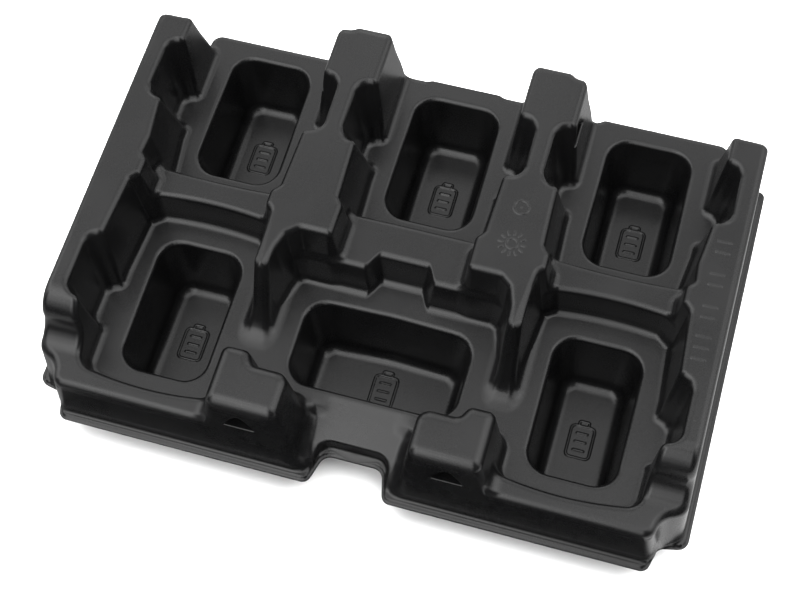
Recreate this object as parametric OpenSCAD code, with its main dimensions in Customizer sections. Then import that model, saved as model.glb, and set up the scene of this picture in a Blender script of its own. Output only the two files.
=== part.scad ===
// Insert tray for a tool case: one sheet of black plastic, drawn down over a
// mould. Six pockets stand in two rows of three, between two side rails and
// two ridges. The tray stands on the undersides of its six pocket floors.
//
// Origin: centre of the footprint, at the level the pocket floors stand on.
// X runs along the long side, Y to the back, Z up.
//
// Every surface is drawn twice: form(0) is the top face of the sheet and
// form(wall) its underside, with each raised shape drawn in by the wall and
// each hollow let out by it. The sheet is what lies between the two.

/* [Overall] */
// Length of the tray over its flange
tray_l = 374; // [366:1:384]
// Width of the tray over its flange
tray_w = 262; // [256:1:268]
// Height from the pocket floors to the tops of the rails and ridges
tray_h = 93; // [86:1:100]
// Thickness of the formed sheet
wall = 1.5; // [1:0.1:2]
// Width of the flat flange around the foot of the wall
flange_w = 5; // [4:0.5:6]

/* [Levels] */
// Height of the flange above the pocket floors
flange_z = 27.5; // [24:0.5:31]
// Height of the cell floors above the flange
ledge_h = 18.2; // [15:0.1:21]
// Height of the curved bars between the two rows above the flange
bar_h = 40; // [34:0.5:44]
// Height of the front lips above the flange
lip_h = 36.5; // [32:0.5:40]
// Height of the front end of the centre chute above the flange
chute_h = 9.5; // [7:0.5:12]

/* [Walls] */
// Draft of the outer walls, degrees from upright
draft_out = 2.6; // [1:0.1:4]
// Draft of the inner walls, degrees from upright
draft_in = 6.6; // [4:0.1:8]
// Radius along the top edges
edge_r = 3; // [2.4:0.1:4]

/* [Pockets] */
// Width of an upright pocket at its mouth
pocket_w = 51; // [46:1:53]
// Length of an upright pocket at its mouth
pocket_l = 83.5; // [76:0.5:86]
// Width of the lying pocket at its mouth
wide_pocket_w = 98; // [90:1:102]
// Length of the lying pocket at its mouth
wide_pocket_l = 53.5; // [48:0.5:56]
// Distance of the outer pockets' centre from the middle of the tray
pocket_x = 117; // [115:0.5:119]
// How far the walls of a pocket draw in down to its floor
pocket_inset = 6.5; // [5:0.5:8]
// Corner radius of a pocket at its mouth
pocket_r = 13; // [9:1:16]

/* [Rails and ridges] */
// Distance of the rails' inner top edge from the middle
rail_x = 160; // [158.5:0.5:161.5]
// Distance of the rails' outer top edge from the middle
rail_out_x = 179; // [177:0.5:180]
// Depth of the notches in the rails and ridges
notch_d = 9.5; // [6:0.5:10.5]
// Length of a notch along the tray's width
notch_l = 39; // [34:1:42]
// Distance of the ridges' centre line from the middle
ridge_x = 58.5; // [57:0.5:60]
// Width of the ridges on top
ridge_w = 31; // [28:1:33]

/* [Hidden] */
$fn = 16;
to = tan(draft_out);
ti = tan(draft_in);
top_h = tray_h - flange_z;          // rails, ridges and blocks over the flange
floor_h = wall - flange_z;          // pocket floor over the flange
rise = top_h - ledge_h;             // height of the inner walls
cell_h = ledge_h - 0.3;             // depth to which cells are cut in the bars
foot_x = rail_out_x + top_h * to;   // foot of the outer wall, half length
foot_y0 = flange_w;                 // foot of the front wall
foot_y1 = tray_w - flange_w;        // foot of the back wall
back_row_y = 204.25;                // centre of the back row of pockets
front_row_y = 73.75;                // centre of the front row
wide_row_y = 73.75;                 // centre of the lying pocket
notch_y = [199.5, 68];              // centres of the two rows of notches

// ---- helpers ----

// one thin slice of an outline, grown by g, with corners of radius r
module slice(pts, z, r, g) {
    translate([0, 0, z]) linear_extrude(height = 0.02)
        offset(r = r) offset(delta = g - r) polygon(pts);
}

// four corners of a plain rectangle
function rect(x0, x1, y0, y1) = [[x0, y0], [x1, y0], [x1, y1], [x0, y1]];

// raised shape: outline bp at height z0, outline tp under the rounded top at
// z1. Its underside, for t > 0, is drawn in by t and lies t lower.
module raised(bp, tp, z0, z1, r, t, e = edge_r) {
    q = max(e - t, 0.8);
    rr = max(r - t, 0.8);
    $fn = t > 0 ? 8 : 12;
    hull() {
        slice(bp, z0, rr, -t);
        slice(tp, z1 - t - q, rr, -t);
        if (t == 0) slice(tp, z1 - t - 0.36 * q, rr, -t - 0.23 * q);
        slice(tp, z1 - t - 0.02, rr, -t - q);
    }
}

// hollow: floor outline bp at height z0, outline tp at height z1
module hollow(bp, tp, z0, z1, r, t, e = 3) {
    q = e + t;
    hull() {
        slice(bp, z0 - t, r + t, t - e);
        if (t == 0) slice(bp, z0 + 0.36 * q, r, -0.36 * e);
        slice(bp, z0 - t + q, r + t, t);
        slice(tp, z1, r + t, t);
    }
}

// both sides of the tray
module both() {
    children();
    mirror([1, 0, 0]) children();
}

// ---- outer body ----

// drafted block of the body from foot outline to height h over the flange
module block_up(x, y0, y1, h, t, r = 5) {
    d = 3 * to;
    raised(rect(-x - d, x + d, y0 - d, y1 + d),
           rect(-x + h * to, x - h * to, y0 + h * to, y1 - h * to),
           -3, h, r, t);
}

// body up to the level of the cell floors, with stepped corners
module base(t) {
    below = -60 - t;
    translate([0, 0, below]) linear_extrude(height = -below - t)
        offset(delta = -t) polygon(rect(-tray_l, tray_l, -30, tray_w + 30));
    block_up(foot_x, 19, 239.5, ledge_h, t);
    block_up(foot_x - 12.5, foot_y0, 60, ledge_h, t);
    block_up(foot_x - 20, 200, foot_y1, ledge_h, t);
}

// ---- front: lips and corner steps ----

module front_mass(t) {
    d = 3 * to;
    both() {
        raised(rect(60, foot_x - 12.5 + d, foot_y0 - d, 42),
               rect(60, foot_x - 12.5 - lip_h * to, foot_y0 + lip_h * to, 42),
               -3, lip_h, 5, t);
        raised(rect(140, foot_x + d, 19 - d, 50),
               rect(140, foot_x - lip_h * to, 19 + lip_h * to, 50),
               -3, lip_h, 5, t);
    }
}

// bars between the rows, still without their curved fronts
module bar_mass(t) {
    raised(rect(-foot_x + 8, foot_x - 8, 96, 150),
           rect(-foot_x + 8, foot_x - 8, 96, 150 - (bar_h - ledge_h) * ti),
           ledge_h - 6, bar_h, 2, t);
}

// front cell, with its front and back bowed outwards
function cell_pts(g, y) = concat(
    [for (i = [0:6]) let (a = -1 + i / 3)
        [117 + a * (37.2 + g), 21 - y + 4 * a * a]],
    [for (i = [6:-1:0]) let (a = -1 + i / 3)
        [117 + a * (37.2 + g), 126 + y - 4 * a * a]]);

module front_cell(t) {
    hollow(cell_pts(0, 0), cell_pts(5, 9), cell_h, ledge_h + 30, 6, t, 2);
}

// wide cell in the middle of the front row
module wide_cell(t) {
    hollow(rect(-60, 60, -20, 108), rect(-66.5, 66.5, -20, 119.5),
           cell_h, top_h, 9, t, 2);
    hull() {
        slice(rect(-66.5, 66.5, -20, 119.5), top_h, 9 + t, t);
        slice(rect(-66.5, 66.5, -20, 119.5), top_h + 5, 9 + t, t);
    }
}

// bay in the middle of the bar behind the wide cell
module bay(t) {
    hollow([[-16, 90], [16, 90], [11.5, 119], [-11.5, 119]],
           [[-20, 90], [20, 90], [14, 127], [-14, 127]],
           cell_h, bar_h + 4, 3, t, 2);
}

// ---- rails ----

module rail(t) {
    xf = rail_x - rise * ti;
    xo = foot_x + 3 * to;
    difference() {
        union() {
            // back part, whose inner heel leans back over the cell floor
            raised([[xf - 2.7, 125], [xo, 125], [xo, 239.5],
                    [159, 245], [xf - 0.2, 245], [xf - 0.2, 175]],
                   [[rail_x - 2.5, 125], [rail_out_x, 125],
                    [rail_out_x, 236.5], [rail_x, 236.5], [rail_x, 175]],
                   -3, top_h, 5, t);
            // front part, down to the step at the front corner
            raised([[xf - 2.2, 155], [xf - 0.2, 88], [xf - 1.2, 34],
                    [xo, 34], [xo, 155]],
                   [[rail_x - 2, 155], [rail_x, 88], [rail_x - 1, 41],
                    [rail_out_x, 39], [rail_out_x, 155]],
                   -3, top_h, 5, t);
            // rib opposite the bars
            raised([[xf - 2, 119], [xf + 12, 119], [xf + 12, 148],
                    [xf - 2, 148], [xf - 7, 138], [xf - 7, 129]],
                   [[rail_x, 124], [rail_x + 12, 124],
                    [rail_x + 12, 143], [rail_x, 143],
                    [rail_x - 6, 136.5], [rail_x - 6, 130.5]],
                   ledge_h - 6, top_h, 2.5, t);
        }
        for (y = notch_y)
            hollow(rect(xf - 20, xf + notch_d, y - notch_l / 2 + 4.5,
                        y + notch_l / 2 - 4.5),
                   rect(rail_x - 20, rail_x + notch_d, y - notch_l / 2,
                        y + notch_l / 2),
                   cell_h, top_h + 1, 7, t, 2.5);
    }
}

// ---- ridges ----

module ridge(t) {
    w = ridge_w / 2;
    x = ridge_x;
    f = rise * ti;
    z0 = ledge_h - 6;
    // post at the back
    raised(rect(x - w - f - 1, x + w + f + 1, notch_y[0] + notch_l / 2 - 4.5,
                foot_y1 - ledge_h * to),
           rect(x - w, x + w, notch_y[0] + notch_l / 2,
                foot_y1 - top_h * to),
           z0, top_h, 5, t);
    // narrow neck between the notches
    raised(rect(x - w + notch_d - f, x + w - notch_d + f, 165, 232),
           rect(x - w + notch_d, x + w - notch_d, 165, 232),
           z0, top_h, 2, t, min(edge_r, 3));
    // wide part
    raised([[x - w - f - 4, 112], [x + w + f + 2, 112],
            [x + w + f, notch_y[0] - notch_l / 2 + 4.5],
            [x - w - f, notch_y[0] - notch_l / 2 + 4.5]],
           [[x - w - 4, 118], [x + w + 1, 118],
            [x + w, notch_y[0] - notch_l / 2],
            [x - w, notch_y[0] - notch_l / 2]],
           z0, top_h, 5, t);
    // ribs on both flanks, in line with the bars
    raised([[x - w - 2, 121], [x + w + 2, 121], [x + w + 10, 129],
            [x + w + 10, 138], [x + w + 2, 147], [x - w - 2, 147],
            [x - w - 10, 138], [x - w - 10, 129]],
           [[x - w - 2, 126], [x + w + 2, 126], [x + w + 5, 130.5],
            [x + w + 5, 136.5], [x + w + 2, 141], [x - w - 2, 141],
            [x - w - 5, 136.5], [x - w - 5, 130.5]],
           z0, top_h, 2.5, t);
}

// thin tail of a ridge between two front cells, with a sloping nose
module tail(t) {
    x = ridge_x + ridge_w / 2;
    raised([[59.8, 73.2], [x + 6.2, 71.2], [x + 7.3, 135], [55.8, 135]],
           [[65.5, 91], [x - 1, 91], [x + 1, 135], [60, 135]],
           ledge_h - 2, top_h, 2.4, t, 2.4);
    raised(rect(61, x + 5, 74, 120), rect(61, x + 5, 74, 120),
           ledge_h - 6, ledge_h + 0.8, 2.4, t, 1);
}

// ---- front blocks ----

module front_block(t) {
    x = ridge_x + ridge_w / 2;
    y0 = foot_y0 + top_h * to;
    f = rise * ti;
    z0 = chute_h - 6;
    raised([[29, foot_y0], [x + f, foot_y0], [x + f, 41], [26, 41],
            [21, 36], [21, foot_y0 + 8]],
           [[38, y0], [x, y0], [x, 35.5], [40, 35.5], [35.5, 31],
            [35.5, y0 + 2.5]],
           z0, top_h, 4, t);
    raised(rect(x - 13 - f, x + f, foot_y0 + 6, 48),
           rect(x - 13, x, y0 + 6, 42.5),
           ledge_h - 6, top_h, 5, t);
}

// half-moon recess in the front of a block, with a flat sill
module half_moon(t) {
    y = foot_y0 + 40 * to;
    hull() {
        translate([ridge_x, y - 6, 40 - t]) cube([18.4 + 2 * t, 1, 0.1], center = true);
        for (a = [0:20:180])
            translate([ridge_x + (9.2 + t) * cos(a), y - 6, 40 + (12 + t) * sin(a)])
                cube([0.1, 0.1, 0.1], center = true);
        translate([ridge_x, y + 1.8 + t, 40 - t]) cube([14, 0.1, 0.1], center = true);
        translate([ridge_x, y + 2.2 + t, 47]) cube([8, 0.1, 0.1], center = true);
    }
}

// ---- cuts in the body ----

// sloping chute between the front blocks
module chute(t) {
    hull() {
        slice(rect(-30, 30, -30, 25), chute_h - t, 1, t);
        slice(rect(-30, 30, -30, 38), ledge_h - t, 1, t);
        slice(rect(-30, 30, -30, 38), ledge_h + 6, 1, t);
    }
}

// notch in the front wall under the chute
module front_notch(t) {
    translate([0, 0, -t]) linear_extrude(height = 40 + t)
        offset(r = 2) offset(r = -2) union() {
            translate([-20.5 - t, -30]) square([41 + 2 * t, 53 + t]);
            translate([-60, -40]) square([120, 40]);
        }
}

// shallow upright flute in the back wall, on the outer side of each post
module back_flute(t) {
    both() hull() {
        translate([0, 0, -t]) slice(rect(66, 84, 252.5, 275), 0, 2, t);
        slice(rect(66, 84, 250.5, 275), top_h + 3, 2, t);
    }
}

// ---- pockets ----

module pocket_cut(x, y, w, l, t) {
    i = pocket_inset;
    hollow(rect(x - w / 2 + i, x + w / 2 - i, y - l / 2 + i, y + l / 2 - i),
           rect(x - w / 2, x + w / 2, y - l / 2, y + l / 2),
           floor_h, ledge_h, pocket_r - 5, t, 3.5);
    // eased mouth
    hull() {
        slice(rect(x - w / 2, x + w / 2, y - l / 2, y + l / 2),
              ledge_h - 2.5 - t, pocket_r + t, t);
        slice(rect(x - w / 2, x + w / 2, y - l / 2, y + l / 2),
              ledge_h - 0.6 - t, pocket_r + t, t + 0.7);
        slice(rect(x - w / 2, x + w / 2, y - l / 2, y + l / 2),
              ledge_h + 0.05, pocket_r + t, t + 1.8);
    }
}

module pockets(t) {
    for (s = [-1, 1]) {
        pocket_cut(s * pocket_x, back_row_y, pocket_w, pocket_l + 0.5, t);
        pocket_cut(s * pocket_x, front_row_y, pocket_w, pocket_l - 0.5, t);
    }
    pocket_cut(0, back_row_y, pocket_w + 2, pocket_l + 0.5, t);
    pocket_cut(0, wide_row_y, wide_pocket_w, wide_pocket_l, t);
}

// ---- the whole form ----

module form(t) {
    difference() {
        union() {
            difference() {
                base(t);
                chute(t);
            }
            difference() {
                union() {
                    front_mass(t);
                    bar_mass(t);
                }
                both() front_cell(t);
                wide_cell(t);
                bay(t);
            }
            both() rail(t);
            difference() {
                both() ridge(t);
                wide_cell(t);
            }
            both() tail(t);
            both() front_block(t);
        }
        front_notch(t);
        back_flute(t);
        both() half_moon(t);
        pockets(t);
    }
}

// outline of the trimmed flange
module flange_outline() {
    s = 16;
    offset(r = 3) offset(delta = -3)
    difference() {
        offset(r = -4) offset(r = 4)
        difference() {
            union() {
                translate([-tray_l / 2, 17]) square([tray_l, 226]);
                translate([-tray_l / 2 + s, 0]) square([tray_l - 2 * s, 60]);
                translate([-tray_l / 2 + s + 4, 200])
                    square([tray_l - 2 * s - 8, tray_w - 200]);
            }
            offset(r = 3) offset(delta = -3)
                translate([-16.5, -30]) square([33, 48]);
        }
    }
}

module tray() {
    color([0.13, 0.13, 0.135])
    translate([0, -tray_w / 2, flange_z])
    intersection() {
        difference() {
            form(0);
            form(wall);
        }
        translate([0, 0, floor_h - wall - 10])
            linear_extrude(height = 160) flange_outline();
    }
}

tray();
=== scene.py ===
# A battery box insert: one sheet of satin black plastic drawn over a mould.
# The surface is the zero level of a distance field, built from the same plan
# outlines, levels and drafts as the CAD model, with every edge and foot
# filleted. The underside is the same field, one sheet thickness further in.
import math
import bpy
import numpy as np
from mathutils import Matrix, Vector


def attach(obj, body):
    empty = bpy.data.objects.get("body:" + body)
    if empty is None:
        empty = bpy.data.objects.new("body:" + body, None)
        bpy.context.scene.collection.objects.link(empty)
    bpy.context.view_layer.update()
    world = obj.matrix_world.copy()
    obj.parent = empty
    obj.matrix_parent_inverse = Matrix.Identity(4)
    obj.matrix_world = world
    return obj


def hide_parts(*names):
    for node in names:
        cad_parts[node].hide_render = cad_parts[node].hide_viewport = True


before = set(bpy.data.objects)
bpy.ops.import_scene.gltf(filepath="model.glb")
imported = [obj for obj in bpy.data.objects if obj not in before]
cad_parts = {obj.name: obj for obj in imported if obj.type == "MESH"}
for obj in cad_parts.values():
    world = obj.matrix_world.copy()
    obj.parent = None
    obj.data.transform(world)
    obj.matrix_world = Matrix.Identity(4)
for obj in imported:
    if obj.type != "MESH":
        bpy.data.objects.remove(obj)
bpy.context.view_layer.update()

WALL = 1.5    # sheet thickness, mm
HALF_Y = 131.0  # half the width of the footprint
LIFT = 27.5   # flange above the level the tray stands on

H = 65.0      # rails, ridges and blocks
LEDGE = 18.2  # cell floors
BAR = 40.0
LIP = 36.5
FLOOR = -26.0
TO = 0.0454   # outer draft
TI = 0.116    # inner draft


def arc_poly(pts, n=7):
    """Closed outline from (x, y, r) corners, each rounded by its own radius."""
    out = []
    m = len(pts)
    for i in range(m):
        p = np.array(pts[i][:2], float)
        r = pts[i][2]
        a = np.array(pts[i - 1][:2], float) - p
        b = np.array(pts[(i + 1) % m][:2], float) - p
        la, lb = np.linalg.norm(a), np.linalg.norm(b)
        a, b = a / la, b / lb
        half = np.arccos(np.clip(a @ b, -1, 1)) / 2
        if r <= 0 or half > np.pi / 2 - 0.02:
            out.append(p)
            continue
        d = min(r / np.tan(half), 0.48 * la, 0.48 * lb)
        r = d * np.tan(half)
        q = p + (a + b) / np.linalg.norm(a + b) * (r / np.sin(half))
        s, e = p + a * d - q, p + b * d - q
        t0 = np.arctan2(s[1], s[0])
        dt = (np.arctan2(e[1], e[0]) - t0 + np.pi) % (2 * np.pi) - np.pi
        for k in range(n):
            t = t0 + dt * k / (n - 1)
            out.append(q + r * np.array([np.cos(t), np.sin(t)]))
    return np.array(out)


def sd_poly(poly, X, Y):
    """Signed distance of the points (X, Y) to a closed outline, negative inside."""
    X, Y = np.broadcast_arrays(X, Y)
    d = np.full(X.shape, 1e9, np.float32)
    inside = np.zeros(X.shape, bool)
    for i in range(len(poly)):
        ax, ay = poly[i - 1]
        bx, by = poly[i]
        ex, ey = bx - ax, by - ay
        l2 = ex * ex + ey * ey
        if l2 < 1e-12:
            continue
        px, py = X - ax, Y - ay
        t = np.clip((px * ex + py * ey) / l2, 0, 1)
        dx, dy = px - ex * t, py - ey * t
        np.minimum(d, dx * dx + dy * dy, out=d)
        if ey != 0:
            inside ^= ((ay > Y) != (by > Y)) & (X < ex * (Y - ay) / ey + ax)
    d = np.sqrt(d)
    return np.where(inside, -d, d).astype(X.dtype)


def rmax(a, b, r):
    """Intersection with a convex fillet of radius r."""
    u = np.maximum(a + r, 0)
    v = np.maximum(b + r, 0)
    return np.minimum(-r, np.maximum(a, b)) + np.sqrt(u * u + v * v)


def rmin(a, b, r):
    """Union with a concave fillet of radius r."""
    u = np.maximum(r - a, 0)
    v = np.maximum(r - b, 0)
    return np.maximum(r, np.minimum(a, b)) - np.sqrt(u * u + v * v)


def plane(a, slope):
    return a / np.sqrt(1 + slope * slope)


def ease(a, b, t):
    t = np.clip((t - a) / (b - a), 0, 1)
    return t * t * (3 - 2 * t)


# plan outlines for x > 0, as (x, y, corner radius)
FOOT = arc_poly([(-40, 23.2, 0), (19.6, 23.2, 8), (21.6, 5, 7), (183.1, 5, 2),
                 (183.1, 240.3, 8), (162.2, 241, 4), (162.4, 259.1, 8),
                 (85, 259.1, 4), (81, 255.9, 5), (68.5, 255.9, 5),
                 (63.5, 259.1, 4), (-40, 259.1, 0)])
FLANGE = arc_poly([(-40, 18, 0), (16.7, 18, 6.5), (21.5, 0, 5), (168.6, 0, 5),
                   (171.8, 14.6, 5), (187, 17.6, 6), (187, 243, 4),
                   (167, 243.3, 3), (167, 262, 3.5), (-40, 262, 0)])
RAIL = arc_poly([(156.8, 154, 5), (157.6, 142.6, 4), (153.8, 138.4, 3),
                 (153.9, 129.2, 3), (158.6, 124.2, 4), (161, 88, 30),
                 (160, 48, 30), (158.6, 10, 0), (158.6, -60, 0), (260, -60, 0),
                 (260, 330, 0), (160, 330, 0), (160, 180, 30)])
RIDGE = arc_poly([(42.2, 330, 0), (42.2, 219, 20), (43, 180, 20), (41.6, 143, 4),
                  (38.2, 138.6, 3), (38.4, 119, 3), (56.5, 119, 4.5),
                  (63.2, 113.5, 4), (66.6, 103, 12), (68.6, 92, 2.2),
                  (72.4, 90.4, 2.2), (75.2, 120, 30), (75.6, 125.6, 4),
                  (79.4, 129.4, 3), (79.3, 138, 3), (75.2, 142.6, 4),
                  (73.7, 180, 20), (74, 219, 20), (74, 330, 0)])
BLOCK = arc_poly([(35.5, -60, 0), (35.5, 35, 7), (56.8, 35.2, 5),
                  (60.6, 42.6, 4.5), (74.6, 42.6, 4), (74.6, -60, 0)])


def rect(x, y, w, l, r):
    return arc_poly([(x - w / 2, y - l / 2, r), (x + w / 2, y - l / 2, r),
                     (x + w / 2, y + l / 2, r), (x - w / 2, y + l / 2, r)], 9)


# each pocket as its mouth and its floor
POCKETS = [(rect(117, 204.0, 49.6, 83.0, 13.0), rect(117, 204.0, 36.6, 70.0, 9.5)),
           (rect(117, 73.6, 49.6, 81.4, 13.0), rect(117, 73.6, 36.6, 68.4, 9.5)),
           (rect(0, 204.0, 51.6, 83.0, 13.0), rect(0, 204.0, 38.6, 70.0, 9.5)),
           (arc_poly([(-48.3, 48.6, 13), (48.3, 48.6, 13), (48.3, 98.8, 13),
                      (0, 100.4, 120), (-48.3, 98.8, 13)], 9),
            arc_poly([(-41.8, 55.1, 9.5), (41.8, 55.1, 9.5), (41.8, 92.3, 9.5),
                      (0, 93.9, 120), (-41.8, 92.3, 9.5)], 9))]


def scoop(a, b, z, z0):
    """Half-moon recess: a cone on the wall point (0, 0), b pointing out of the wall."""
    q = np.sqrt(a * a + (b - 3.98) ** 2) - 9.98 + 0.4 * (z - z0)
    return rmax(q / 1.08, plane(z0 - z + 0.25 * b, 0.25), 0.6)


def field(x, y, z, fine=True):
    """x, y, z broadcast against each other; x is taken as |x|. fine=False leaves out the small marks."""
    x = np.abs(x)

    # outer wall, drafted all round, with the stepped front corner
    env = plane(sd_poly(FOOT, x, y) + z * TO, TO)
    env = rmax(env, plane(y - 259.3 + 0.058 * z, 0.058), 1.0)
    cut = rmax(plane(y - 18.6 - 0.115 * z, 0.115), plane(170.9 - 0.09 * z - x, 0.09), 11.0)
    env = rmax(env, -cut, 7.0)

    # rails with the step down to the front corner
    wall = plane(sd_poly(RAIL, x, y) + (z - H) * (TI - 0.045 * (1 - ease(46.0, 58.0, y))), TI)
    prof = rmax(z - H, plane(37.8 - y + (z - H) * 0.03, 0.03), 15.0)
    prof = rmin(prof, z - LIP, 13.0)
    lip_y = 17.3 + 3.6 * ((x - 115.5) / 36.5) ** 2
    lip_wall = np.maximum(plane(y - lip_y + (z - LIP) * TI, TI), 54.0 - x)
    sides = rmin(wall, lip_wall, 7.0)
    top = np.where(x > 140, prof, z - LIP)
    front = rmax(sides, top, 3.4)
    heel = plane(y - 237.5 + (z - H) * 0.18, 0.18)
    front = rmax(front, heel, 5.0)
    nr = 8.0
    for ya, yb, sa in ((180.0, 219.0, 0.19), (49.4, 87.5, 0.03)):
        n = np.maximum(plane(ya + (H - z) * sa - y, 0.19), plane(y - yb + (H - z) * 0.19, 0.19))
        n = rmax(n,
                 plane(x - 169 + (H - z) * 0.105, 0.105), nr)
        front = rmax(front, -n, 3.2)

    # ridges
    ridge = plane(sd_poly(RIDGE, x, y) + (z - H) * TI, TI)
    ridge = rmax(ridge, z - H, 3.4)
    ny = plane(np.abs(y - 199.6) - 19.6 + (H - z) * 0.22, 0.22)
    for s, xn in ((1, 63.6), (-1, 53.0)):
        n = rmax(ny, plane(s * (xn - x) - (z - H) * 0.125, 0.125), nr)
        ridge = rmax(ridge, -n, 3.2)
    # sloping nose of the tail, spreading at its foot
    u = np.exp(-np.maximum(z - LEDGE, -2.0) / 4.5)
    nose = rmax((66.7 - 3.0 * u - x + (z - H) * 0.03) / np.sqrt(1 + (0.6 * u) ** 2),
                (x - 74.9 - 3.0 * u + (z - H) * 0.03) / np.sqrt(1 + (0.6 * u) ** 2), 3.0)
    nose = rmax(nose, (92.8 - 6.0 * u - y + (z - H) * 0.4) / np.sqrt(1 + (0.4 + 1.3 * u) ** 2), 4.0)
    nose = rmax(nose, rmax(z - H + 1.5, y - 118.0, 1.5), 2.0)
    ridge = rmin(ridge, nose, 1.2)

    # blocks beside the chute
    block = plane(sd_poly(BLOCK, x, y) + (z - H) * TI, TI)
    shoulder = plane(35.6 - x + (z - H) * 0.15, 0.15)
    block = rmax(block, shoulder, 1.0)
    block = rmax(block, z - H, 5.2)

    # curved bars between the rows
    c = (x - 117.0) / 37.0
    back_y = 147.5 + 1.4 * np.clip(c * c, 0, 1.4)
    front_y = 132.4 - 2.9 * np.clip(c * c, 0, 1.4)
    side_bar = rmax(plane(y - back_y + (z - BAR) * TI, TI),
                    plane(front_y - y + (z - BAR) * TI, TI), 0.5)
    side_bar = np.maximum(side_bar, 58.0 - x)
    bay_y = 116.0 + 9.8 * (1 - ease(13.5, 21.0, x + (BAR - z) * 0.12))
    mid_bar = rmax(plane(y - 147.6 + (z - BAR) * TI, TI),
                   plane(bay_y - y + (z - BAR) * 0.2, 0.55), 0.5)
    mid_bar = np.maximum(mid_bar, x - 60.0)
    bars = np.minimum(rmax(side_bar, z - BAR, 3.0), rmax(mid_bar, z - BAR, 3.0))

    # all that stands on the cell floors
    up = rmin(front, bars, 5.0)
    up = rmin(up, ridge, 5.0)
    up = rmin(up, block, 8.0)

    # cell floors and the chute
    u = 46.0 - y
    drop = 0.2 * (u + np.sqrt(u * u + 16.0)) * (1 - ease(34.0, 44.0, x))
    drop = drop * (1 - ease(17.0, 33.0, x) * ease(33.5, 40.0, y))
    base = (z - LEDGE + drop) / 1.04
    chute = (1 - ease(34.0, 46.0, x)) * (1 - ease(34.0, 46.0, y))
    f = rmin(base, up, 3.8 + 5.0 * chute)
    f = rmax(f, env, 4.2 + 2.6 * (1 - ease(14.0, 30.0, y)) * (1 - ease(70.0, 82.0, x)) - 4.0 * (1 - ease(20.0, 25.0, x))
             + 2.2 * ease(225.0, 245.0, y) * ease(30.0, 50.0, z))

    # fine step under the front rolls
    if fine:
        z0 = 31.6 + 25.8 * (1 - ease(72.0, 80.0, x))
        step = 0.3 * (1 - ease(z0 - 0.9, z0, z)) * (1 - ease(7.5, 10.0, y)) * ease(20.0, 26.0, x)
        f = f - step * ease(4.0, 9.0, z)

    # half-moon recesses in the front of each block and the outer wall of each ridge
    if fine:
        f = rmax(f, -scoop(x - 57.1, 6.8 - y, z, 41.0), 0.7)
        f = rmax(f, -scoop(y - 225.3, x - 76.1, z, 47.5), 0.7)

    # flange with its turned-down rim
    e = sd_poly(FLANGE, x, y)
    rim = -0.9 * ease(-2.3, -1.2, e)
    f = rmin(f, z - rim, 1.8)

    # pockets
    t = np.clip((LEDGE - z) / (LEDGE - FLOOR), -0.6, 1.1)
    for mouth, floor in POCKETS:
        c = plane(sd_poly(mouth, x, y) * (1 - t) + sd_poly(floor, x, y) * t, 0.147)
        c = rmax(c, FLOOR - z, 5.6)
        f = rmax(f, -c, 2.5)
    return f


def edge(x, y):
    return sd_poly(FLANGE, np.abs(x), y)


# ---- surface of the field ----

def surface_nets(F, org, h):
    """Vertices and quads of the zero surface of the grid field F."""
    nx, ny, nz = F.shape
    S = F < 0
    cells = (nx - 1, ny - 1, nz - 1)
    cnt = np.zeros(cells, np.uint8)
    cor = [(a, b, c) for a in (0, 1) for b in (0, 1) for c in (0, 1)]
    for a, b, c in cor:
        cnt += S[a:a + cells[0], b:b + cells[1], c:c + cells[2]]
    I, J, K = np.nonzero((cnt > 0) & (cnt < 8))
    idx = np.full(cells, -1, np.int32)
    idx[I, J, K] = np.arange(len(I), dtype=np.int32)
    acc = np.zeros((len(I), 3))
    num = np.zeros(len(I))
    vals = {k: F[I + k[0], J + k[1], K + k[2]].astype(float) for k in cor}
    for p in cor:
        for ax in range(3):
            if p[ax]:
                continue
            q = list(p)
            q[ax] = 1
            fa, fb = vals[p], vals[tuple(q)]
            m = (fa < 0) != (fb < 0)
            t = np.where(m, fa / np.where(m, fa - fb, 1), 0)
            for k in range(3):
                acc[:, k] += np.where(m, p[k] + (t if k == ax else 0), 0)
            num += m
    V = (acc / num[:, None] + np.stack([I, J, K], 1)) * h + org
    quads = []
    for ax in range(3):
        lo = [slice(None)] * 3
        hi = [slice(None)] * 3
        lo[ax] = slice(0, -1)
        hi[ax] = slice(1, None)
        a, b = S[tuple(lo)], S[tuple(hi)]
        g = list(np.nonzero(a != b))
        o = [q for q in range(3) if q != ax]
        ok = np.ones(len(g[0]), bool)
        for q in o:
            ok &= (g[q] > 0) & (g[q] < F.shape[q] - 1)
        g = [u[ok] for u in g]

        def cell(d0, d1):
            c = [u.copy() for u in g]
            c[o[0]] -= d0
            c[o[1]] -= d1
            return idx[c[0], c[1], c[2]]

        q4 = np.stack([cell(1, 1), cell(0, 1), cell(0, 0), cell(1, 0)], 1)
        ins = a[g[0], g[1], g[2]]
        turn = ins if ax != 1 else ~ins
        quads.append(np.where(turn[:, None], q4, q4[:, ::-1]))
    return V, np.concatenate(quads)


def gradient(V, fine=True, d=0.12):
    g = np.empty_like(V)
    for k in range(3):
        e = np.zeros(3)
        e[k] = d
        P, M = V + e, V - e
        g[:, k] = (field(P[:, 0], P[:, 1], P[:, 2], fine)
                   - field(M[:, 0], M[:, 1], M[:, 2], fine)) / (2 * d)
    return g


def settle(V, level=0.0, fine=True, rounds=4, most=0.35):
    """Moves the points onto the level surface of the field."""
    for _ in range(rounds):
        f = field(V[:, 0], V[:, 1], V[:, 2], fine) - level
        g = gradient(V, fine)
        step = -f[:, None] * g / np.maximum((g * g).sum(1), 0.05)[:, None]
        n = np.linalg.norm(step, axis=1)
        step *= np.minimum(1, most / np.maximum(n, 1e-9))[:, None]
        V = V + step
    return V


def unit(g):
    return g / np.maximum(np.linalg.norm(g, axis=1), 1e-9)[:, None]


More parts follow.
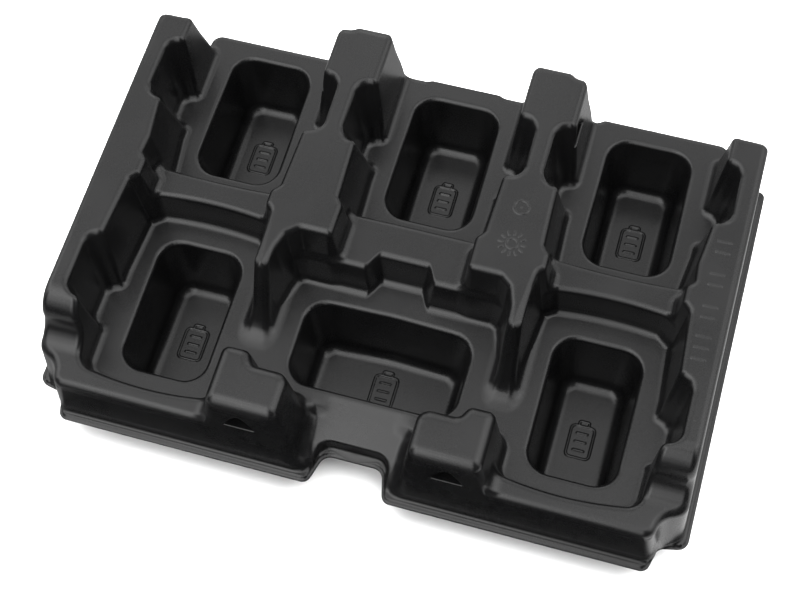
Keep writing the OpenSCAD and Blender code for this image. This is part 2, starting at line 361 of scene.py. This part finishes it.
def open_edges(T):
    """Directed edges that only one triangle has."""
    e = np.concatenate([T[:, [0, 1]], T[:, [1, 2]], T[:, [2, 0]]])
    m = T.max() + 1
    key = e[:, 0].astype(np.int64) * m + e[:, 1]
    back = e[:, 1].astype(np.int64) * m + e[:, 0]
    return e[~np.isin(key, back)]


def half_skin(h, keep, level):
    """One face of the sheet for x >= 0 as (vertices, triangles), thinned to about keep triangles."""
    x = (np.arange(0, int(189 / h) + 2) - 0.5) * h
    y = np.arange(-2 * h, 264 + 2 * h, h) + 0.071 * h
    z = np.arange(-29.0, 67.5 + h, h) + 0.137 * h
    X = x[:, None, None].astype(np.float32)
    Y = y[None, :, None].astype(np.float32)
    Z = z[None, None, :].astype(np.float32)
    F = np.maximum(field(X, Y, Z) - level, edge(X, Y))
    V, Q = surface_nets(F, np.array([x[0], y[0], z[0]]), h)
    e = sd_poly(FLANGE, V[:, 0], V[:, 1])
    side = (np.abs(e) < 0.75 * h) & (V[:, 2] < level - 0.9 - 0.45 * h)
    Q = Q[~side[Q].any(1)]
    used, inv = np.unique(Q, return_inverse=True)
    V, Q = V[used], inv.reshape(Q.shape)

    me = bpy.data.meshes.new("skin_raw")
    me.vertices.add(len(V))
    me.vertices.foreach_set("co", V.ravel().astype(np.float32))
    me.loops.add(len(Q) * 4)
    me.loops.foreach_set("vertex_index", Q.ravel().astype(np.int32))
    me.polygons.add(len(Q))
    me.polygons.foreach_set("loop_start", np.arange(0, len(Q) * 4, 4, dtype=np.int32))
    me.update(calc_edges=True)
    ob = bpy.data.objects.new("skin_raw", me)
    bpy.context.scene.collection.objects.link(ob)
    mod = ob.modifiers.new("thin", "DECIMATE")
    mod.ratio = keep / (2.0 * len(Q))
    mod.use_collapse_triangulate = True
    dg = bpy.context.evaluated_depsgraph_get()
    out = bpy.data.meshes.new_from_object(ob.evaluated_get(dg))
    out.calc_loop_triangles()
    W = np.empty(len(out.vertices) * 3, np.float32)
    out.vertices.foreach_get("co", W)
    T = np.empty(len(out.loop_triangles) * 3, np.int32)
    out.loop_triangles.foreach_get("vertices", T)
    bpy.data.objects.remove(ob)
    bpy.data.meshes.remove(me)
    bpy.data.meshes.remove(out)
    return W.reshape(-1, 3).astype(float), T.reshape(-1, 3)


def skin(h, keep, level):
    """One whole face of the sheet: (vertices, triangles, vertex normals)."""
    V, T = half_skin(h, keep, level)
    b = np.unique(open_edges(T))
    mid = np.zeros(len(V), bool)
    mid[b] = V[b, 0] < 0.6 * h
    V[mid, 0] = 0.0
    rim = np.zeros(len(V), bool)
    rim[b] = True
    rim &= ~(mid & (V[:, 1] > 22) & (V[:, 1] < 258))
    W = settle(V, level)
    W[mid, 0] = 0.0
    # the rim follows the trimmed outline
    R = V[rim]
    m = mid[rim]
    d = 0.05
    for _ in range(4):
        s = sd_poly(FLANGE, R[:, 0], R[:, 1])
        gx = (sd_poly(FLANGE, R[:, 0] + d, R[:, 1]) - sd_poly(FLANGE, R[:, 0] - d, R[:, 1])) / (2 * d)
        gy = (sd_poly(FLANGE, R[:, 0], R[:, 1] + d) - sd_poly(FLANGE, R[:, 0], R[:, 1] - d)) / (2 * d)
        gx = np.where(m, 0, gx)
        n2 = np.maximum(gx * gx + gy * gy, 0.2)
        R[:, 0] -= (s + 0.01) * gx / n2
        R[:, 1] -= (s + 0.01) * gy / n2
    R[:, 2] = level - 0.9
    W[rim] = R
    N = unit(gradient(W, d=0.15))
    N[mid, 0] = 0.0
    N[rim] = (0, 0, 1)
    N = unit(N)
    # mirror to the other side, sharing the vertices on the middle plane
    n = len(W)
    other = np.arange(n) + n
    other[mid] = np.nonzero(mid)[0]
    flip = np.array([-1.0, 1, 1])
    V2 = np.concatenate([W, W * flip])
    N2 = np.concatenate([N, N * flip])
    T2 = np.concatenate([T, other[T][:, ::-1]])
    used, inv = np.unique(T2, return_inverse=True)
    return V2[used], inv.reshape(T2.shape), N2[used]


def rim_loop(V, T):
    """The open edge of a skin as one ordered ring, starting at the back on the middle plane."""
    e = open_edges(T)
    after = dict(zip(e[:, 0].tolist(), e[:, 1].tolist()))
    start = min(after, key=lambda k: abs(V[k, 0]) - 0.01 * V[k, 1])
    ring = [start]
    while after[ring[-1]] != start:
        ring.append(after[ring[-1]])
        if len(ring) > len(after):
            break
    return ring


def sheet_mesh():
    """Closed sheet: (vertices in metres, triangles, one normal per triangle corner)."""
    V, T, N = skin(0.85, 74000, 0.0)
    U, B, M = skin(1.3, 20000, -WALL)
    a, c = rim_loop(V, T), rim_loop(U, B)
    k = len(V)
    P = np.concatenate([V, U])

    def way(ring, Q):
        p = Q[ring + [ring[0]]][:, :2]
        s = np.concatenate([[0], np.cumsum(np.linalg.norm(np.diff(p, axis=0), axis=1))])
        return s / s[-1]

    sa, sc = way(a, V), way(c, U)
    i = j = 0
    side = []
    while i < len(a) or j < len(c):
        ai, cj = a[i % len(a)], c[j % len(c)] + k
        if j >= len(c) or (i < len(a) and sa[i + 1] <= sc[j + 1]):
            side.append((a[(i + 1) % len(a)], ai, cj))
            i += 1
        else:
            side.append((ai, cj, c[(j + 1) % len(c)] + k))
            j += 1
    side = np.array(side)
    g = np.zeros((len(P), 3))
    ring = np.unique(side)
    x, y, d = P[ring, 0], P[ring, 1], 0.05
    ax = np.abs(x)
    g[ring, 0] = np.sign(x) * (sd_poly(FLANGE, ax + d, y) - sd_poly(FLANGE, ax - d, y))
    g[ring, 1] = sd_poly(FLANGE, ax, y + d) - sd_poly(FLANGE, ax, y - d)
    g = unit(g)
    tris = np.concatenate([T, B[:, ::-1] + k, side])
    loops = np.concatenate([N[T], -M[B[:, ::-1]], g[side]])
    P[:, 1] -= HALF_Y
    P[:, 2] += LIFT
    return P / 1000.0, tris, loops.reshape(-1, 3)


# ---- moulded marks, all plain: a battery sign in each pocket, a dial, a ring and a row of bars ----

def near_line(X, Y, x0, y0, x1, y1):
    ex, ey = x1 - x0, y1 - y0
    t = np.clip(((X - x0) * ex + (Y - y0) * ey) / (ex * ex + ey * ey), 0, 1)
    return np.hypot(X - x0 - ex * t, Y - y0 - ey * t)


def battery_sign(X, Y):
    d = np.abs(sd_poly(rect(0, -1.2, 13.5, 19.5, 2.6), X, Y))
    d = np.minimum(d, np.abs(sd_poly(rect(0, 9.9, 5.6, 2.9, 0.8), X, Y)))
    for y in (-6.4, -1.2, 4.0):
        d = np.minimum(d, near_line(X, Y, -2.9, y, 2.9, y))
    return d


def dial_sign(X, Y):
    r = np.hypot(X, Y)
    d = np.abs(r - 3.1)
    for k in range(12):
        a = math.radians(30 * k)
        d = np.minimum(d, near_line(X, Y, 5.4 * math.cos(a), 5.4 * math.sin(a),
                                    7.3 * math.cos(a), 7.3 * math.sin(a)))
    return d


def ring_sign(X, Y):
    r = np.hypot(X, Y)
    return np.minimum(np.abs(r - 4.2), r)


def bars_sign(X, Y):
    d = np.full(np.broadcast(X, Y).shape, 1e3)
    for y in (-35.0, -28.4, -21.8, -10.4, -3.8, 9.2, 15.8, 29.2, 35.8):
        d = np.minimum(d, near_line(X, Y, -3.4, y, 3.4, y))
    return d


def mark(sign, cx, cy, z, w, l, stroke, rise, parts, step=0.42):
    """Raised soft stroke on a flat face, as a closed shell sunk into the sheet."""
    x = np.arange(-w / 2, w / 2 + step, step)
    y = np.arange(-l / 2, l / 2 + step, step)
    X, Y = np.meshgrid(x, y, indexing="ij")
    d = sign(X, Y)
    h = rise * 0.5 * (1 + np.cos(np.pi * np.clip(d / stroke, 0, 1))) - 0.06
    near = d < stroke * 1.05 + step
    cell = near[:-1, :-1] & near[1:, :-1] & near[:-1, 1:] & near[1:, 1:]
    idx = np.arange(X.size).reshape(X.shape)
    a, b, c, e = (idx[:-1, :-1][cell], idx[1:, :-1][cell], idx[1:, 1:][cell], idx[:-1, 1:][cell])
    T = np.concatenate([np.stack([a, b, c], 1), np.stack([a, c, e], 1)])
    P = np.stack([X.ravel() + cx, Y.ravel() + cy, z + h.ravel()], 1)
    used, inv = np.unique(T, return_inverse=True)
    P, T = P[used], inv.reshape(T.shape)
    k = len(P)
    Q = P.copy()
    Q[:, 2] = z - 0.7
    o = open_edges(T)
    side = np.concatenate([np.stack([o[:, 1], o[:, 0], o[:, 0] + k], 1),
                           np.stack([o[:, 1], o[:, 0] + k, o[:, 1] + k], 1)])
    n = sum(len(p) for p, _ in parts)
    parts.append((np.concatenate([P, Q]), np.concatenate([T, T[:, ::-1] + k, side]) + n))


def marks_mesh():
    parts = []
    for cx, cy in ((-117, 203.6), (0, 203.6), (117, 203.6), (-117, 73.0), (0, 73.4), (117, 73.0)):
        mark(battery_sign, cx, cy, FLOOR, 20, 28, 1.15, 0.75, parts)
    mark(dial_sign, 58.0, 139.0, H, 20, 20, 1.05, 0.5, parts)
    mark(ring_sign, 57.6, 161.8, H, 14, 14, 1.0, 0.5, parts)
    mark(bars_sign, 168.2, 133.0, H, 12, 78, 1.15, 0.5, parts)
    P = np.concatenate([p for p, _ in parts])
    T = np.concatenate([t for _, t in parts])
    P[:, 1] -= HALF_Y
    P[:, 2] += LIFT
    return P / 1000.0, T


def make_object(name, P, tris, loops):
    me = bpy.data.meshes.new(name)
    me.vertices.add(len(P))
    me.vertices.foreach_set("co", P.ravel().astype(np.float32))
    me.loops.add(len(tris) * 3)
    me.loops.foreach_set("vertex_index", tris.ravel().astype(np.int32))
    me.polygons.add(len(tris))
    me.polygons.foreach_set("loop_start", np.arange(0, len(tris) * 3, 3, dtype=np.int32))
    me.update(calc_edges=True)
    me.validate(verbose=False)
    me.polygons.foreach_set("use_smooth", np.ones(len(me.polygons), bool))
    if len(me.loops) == len(loops):
        me.normals_split_custom_set([tuple(v) for v in loops])
    ob = bpy.data.objects.new(name, me)
    bpy.context.scene.collection.objects.link(ob)
    return ob


# ---- material ----

def node(nt, kind, **sockets):
    n = nt.nodes.new(kind)
    for k, v in sockets.items():
        n.inputs[k].default_value = v
    return n


def black_plastic():
    """Satin black formed sheet: fine mould grain, a few specks, faint drawn streaks."""
    mat = bpy.data.materials.new("satin_black_sheet")
    mat.use_nodes = True
    nt = mat.node_tree
    nt.nodes.clear()
    out = nt.nodes.new("ShaderNodeOutputMaterial")
    b = nt.nodes.new("ShaderNodeBsdfPrincipled")
    nt.links.new(b.outputs[0], out.inputs[0])
    b.inputs["IOR"].default_value = 1.5
    b.inputs["Specular IOR Level"].default_value = 0.5
    co = nt.nodes.new("ShaderNodeTexCoord")

    def noise(scale, detail, rough=0.5):
        n = nt.nodes.new("ShaderNodeTexNoise")
        n.inputs["Scale"].default_value = scale
        n.inputs["Detail"].default_value = detail
        n.inputs["Roughness"].default_value = rough
        nt.links.new(co.outputs["Object"], n.inputs["Vector"])
        return n

    def ramp(src, lo, hi, a, c):
        m = nt.nodes.new("ShaderNodeMapRange")
        m.inputs["From Min"].default_value = lo
        m.inputs["From Max"].default_value = hi
        m.inputs["To Min"].default_value = a
        m.inputs["To Max"].default_value = c
        nt.links.new(src, m.inputs["Value"])
        return m.outputs["Result"]

    cloud = noise(28.0, 3.0)
    grain = noise(2600.0, 2.0)
    wave = noise(11.0, 1.5)
    # colour: near black, slightly uneven
    mix = nt.nodes.new("ShaderNodeMix")
    mix.data_type = "RGBA"
    mix.inputs["A"].default_value = (0.0052, 0.0052, 0.0055, 1)
    mix.inputs["B"].default_value = (0.0074, 0.0074, 0.0077, 1)
    nt.links.new(ramp(cloud.outputs["Fac"], 0.35, 0.65, 0, 1), mix.inputs["Factor"])
    nt.links.new(mix.outputs["Result"], b.inputs["Base Color"])
    # roughness: satin, with cloudy patches and fine grain
    add = nt.nodes.new("ShaderNodeMath")
    add.operation = "ADD"
    nt.links.new(ramp(cloud.outputs["Fac"], 0.3, 0.7, 0.25, 0.31), add.inputs[0])
    nt.links.new(ramp(grain.outputs["Fac"], 0.3, 0.7, -0.02, 0.02), add.inputs[1])
    nt.links.new(add.outputs[0], b.inputs["Roughness"])
    # specks: small pimples left by dust under the sheet
    vor = nt.nodes.new("ShaderNodeTexVoronoi")
    vor.feature = "F1"
    vor.inputs["Scale"].default_value = 62.0
    vor.inputs["Randomness"].default_value = 1.0
    nt.links.new(co.outputs["Object"], vor.inputs["Vector"])
    speck = ramp(vor.outputs["Distance"], 0.0, 0.035, 1.0, 0.0)
    # relief
    b1 = nt.nodes.new("ShaderNodeBump")
    b1.inputs["Strength"].default_value = 0.12
    b1.inputs["Distance"].default_value = 0.0002
    nt.links.new(grain.outputs["Fac"], b1.inputs["Height"])
    b2 = nt.nodes.new("ShaderNodeBump")
    b2.inputs["Strength"].default_value = 0.5
    b2.inputs["Distance"].default_value = 0.0003
    nt.links.new(speck, b2.inputs["Height"])
    nt.links.new(b1.outputs["Normal"], b2.inputs["Normal"])
    b3 = nt.nodes.new("ShaderNodeBump")
    b3.inputs["Strength"].default_value = 0.25
    b3.inputs["Distance"].default_value = 0.002
    nt.links.new(wave.outputs["Fac"], b3.inputs["Height"])
    nt.links.new(b2.outputs["Normal"], b3.inputs["Normal"])
    nt.links.new(b3.outputs["Normal"], b.inputs["Normal"])
    return mat


P, tris, loops = sheet_mesh()
tray = make_object("tray_sheet", P, tris, loops)
tray.data.materials.append(black_plastic())
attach(tray, "root")
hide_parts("tray")
P, tris = marks_mesh()
marks = make_object("moulded_marks", P, tris, [])
marks.data.materials.append(tray.data.materials[0])
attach(marks, "root")
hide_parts("tray")
print("tray triangles", len(tray.data.polygons), "marks", len(marks.data.polygons))

# ---- studio ----

sc = bpy.context.scene
sc.view_settings.view_transform = "Standard"
sc.view_settings.look = "None"
world = bpy.data.worlds.new("studio")
sc.world = world
world.use_nodes = True
world.node_tree.nodes["Background"].inputs["Color"].default_value = (1, 1, 1, 1)
world.node_tree.nodes["Background"].inputs["Strength"].default_value = 0.0

me = bpy.data.meshes.new("floor")
s = 6.0
me.from_pydata([(-s, -s, 0), (s, -s, 0), (s, s, 0), (-s, s, 0)], [], [(0, 1, 2, 3)])
floor = bpy.data.objects.new("floor", me)
sc.collection.objects.link(floor)
fm = bpy.data.materials.new("paper")
fm.use_nodes = True
fm.node_tree.nodes["Principled BSDF"].inputs["Base Color"].default_value = (0.88, 0.88, 0.88, 1)
fm.node_tree.nodes["Principled BSDF"].inputs["Roughness"].default_value = 1.0
fm.node_tree.nodes["Principled BSDF"].inputs["Specular IOR Level"].default_value = 0.0
me.materials.append(fm)
floor.visible_glossy = False


def softbox(name, place, aim, w, h, power, glossy=True):
    d = bpy.data.lights.new(name, "AREA")
    d.shape = "RECTANGLE"
    d.size, d.size_y = w, h
    d.energy = power
    o = bpy.data.objects.new(name, d)
    o.location = place
    o.rotation_mode = "QUATERNION"
    o.rotation_quaternion = (Vector(aim) - Vector(place)).to_track_quat("-Z", "Y")
    o.visible_glossy = glossy
    sc.collection.objects.link(o)
    return o


# large soft panels round the table, as (azimuth, elevation, watts)
PANELS = [(0, 90, 4.2), (0, 64, 3.2), (30, 64, 2.1), (90, 64, 1.0), (120, 64, 1.0),
          (180, 64, 2.7), (210, 64, 2.6), (240, 64, 3.2), (270, 64, 2.4), (0, 46, 3.6),
          (30, 46, 2.3), (60, 46, 1.5), (90, 46, 1.7), (120, 46, 2.1), (150, 46, 0.9),
          (180, 46, 4.4), (210, 46, 1.6), (240, 46, 4.2), (270, 46, 4.0), (0, 28, 2.6),
          (30, 28, 2.7), (60, 28, 2.0), (90, 28, 2.3), (120, 28, 2.5), (150, 28, 2.1),
          (180, 28, 3.7), (240, 28, 2.6), (270, 28, 2.8), (0, 10, 1.1), (30, 10, 2.3),
          (60, 10, 1.6), (90, 10, 1.9), (120, 10, 1.9), (150, 10, 1.4), (180, 10, 1.5),
          (270, 10, 0.4)]
for az, el, watts in PANELS:
    a, e = math.radians(az), math.radians(el)
    place = (1.8 * math.cos(a) * math.cos(e), 1.8 * math.sin(a) * math.cos(e), 1.8 * math.sin(e))
    softbox("panel_%d_%d" % (az, el), place, (0, 0, 0.05), 1.05, 1.05, 1.07 * watts)
# white table behind and to the sides, as the plastic mirrors it
for name, x0, y0, x1, y1, power in (("table_back", -0.6, 0.131, 0.6, 1.2, 0.70),
                                    ("table_right", 0.187, -0.3, 1.3, 0.131, 1.35),
                                    ("table_left", -1.3, -0.3, -0.187, 0.131, 0.50)):
    card = bpy.data.meshes.new(name)
    card.from_pydata([(x0, y0, -0.002), (x1, y0, -0.002), (x1, y1, -0.002), (x0, y1, -0.002)],
                     [], [(0, 1, 2, 3)])
    cm = bpy.data.materials.new(name)
    cm.use_nodes = True
    cm.node_tree.nodes.clear()
    em = node(cm.node_tree, "ShaderNodeEmission", Strength=power)
    cm.node_tree.links.new(em.outputs[0],
                           cm.node_tree.nodes.new("ShaderNodeOutputMaterial").inputs[0])
    cm.cycles.emission_sampling = "NONE"
    card.materials.append(cm)
    co = bpy.data.objects.new(name, card)
    co.visible_camera = co.visible_diffuse = co.visible_shadow = False
    sc.collection.objects.link(co)
# the pale table has a light of its own, which keeps it white
wash = softbox("table_wash", (0.2, 0.6, 2.2), (0, 0, 0), 2.8, 2.4, 235, glossy=False)
lit = bpy.data.collections.new("washed")
lit.objects.link(floor)
wash.light_linking.receiver_collection = lit

# ---- camera at the photograph's place ----

cam = bpy.data.cameras.new("camera")
cam.sensor_width = 36.0
cam.sensor_fit = "HORIZONTAL"
cam.lens = 72.54
co = bpy.data.objects.new("camera", cam)
right = Vector((0.95977, 0.27751, -0.04279))
down = Vector((0.23251, -0.87091, -0.43296))
ahead = Vector((-0.15742, 0.40559, -0.90040))
m = Matrix((right, -down, -ahead)).transposed().to_4x4()
m.translation = Vector((0.14363, -0.38678, 0.86742))
co.matrix_world = m
sc.collection.objects.link(co)
sc.camera = co
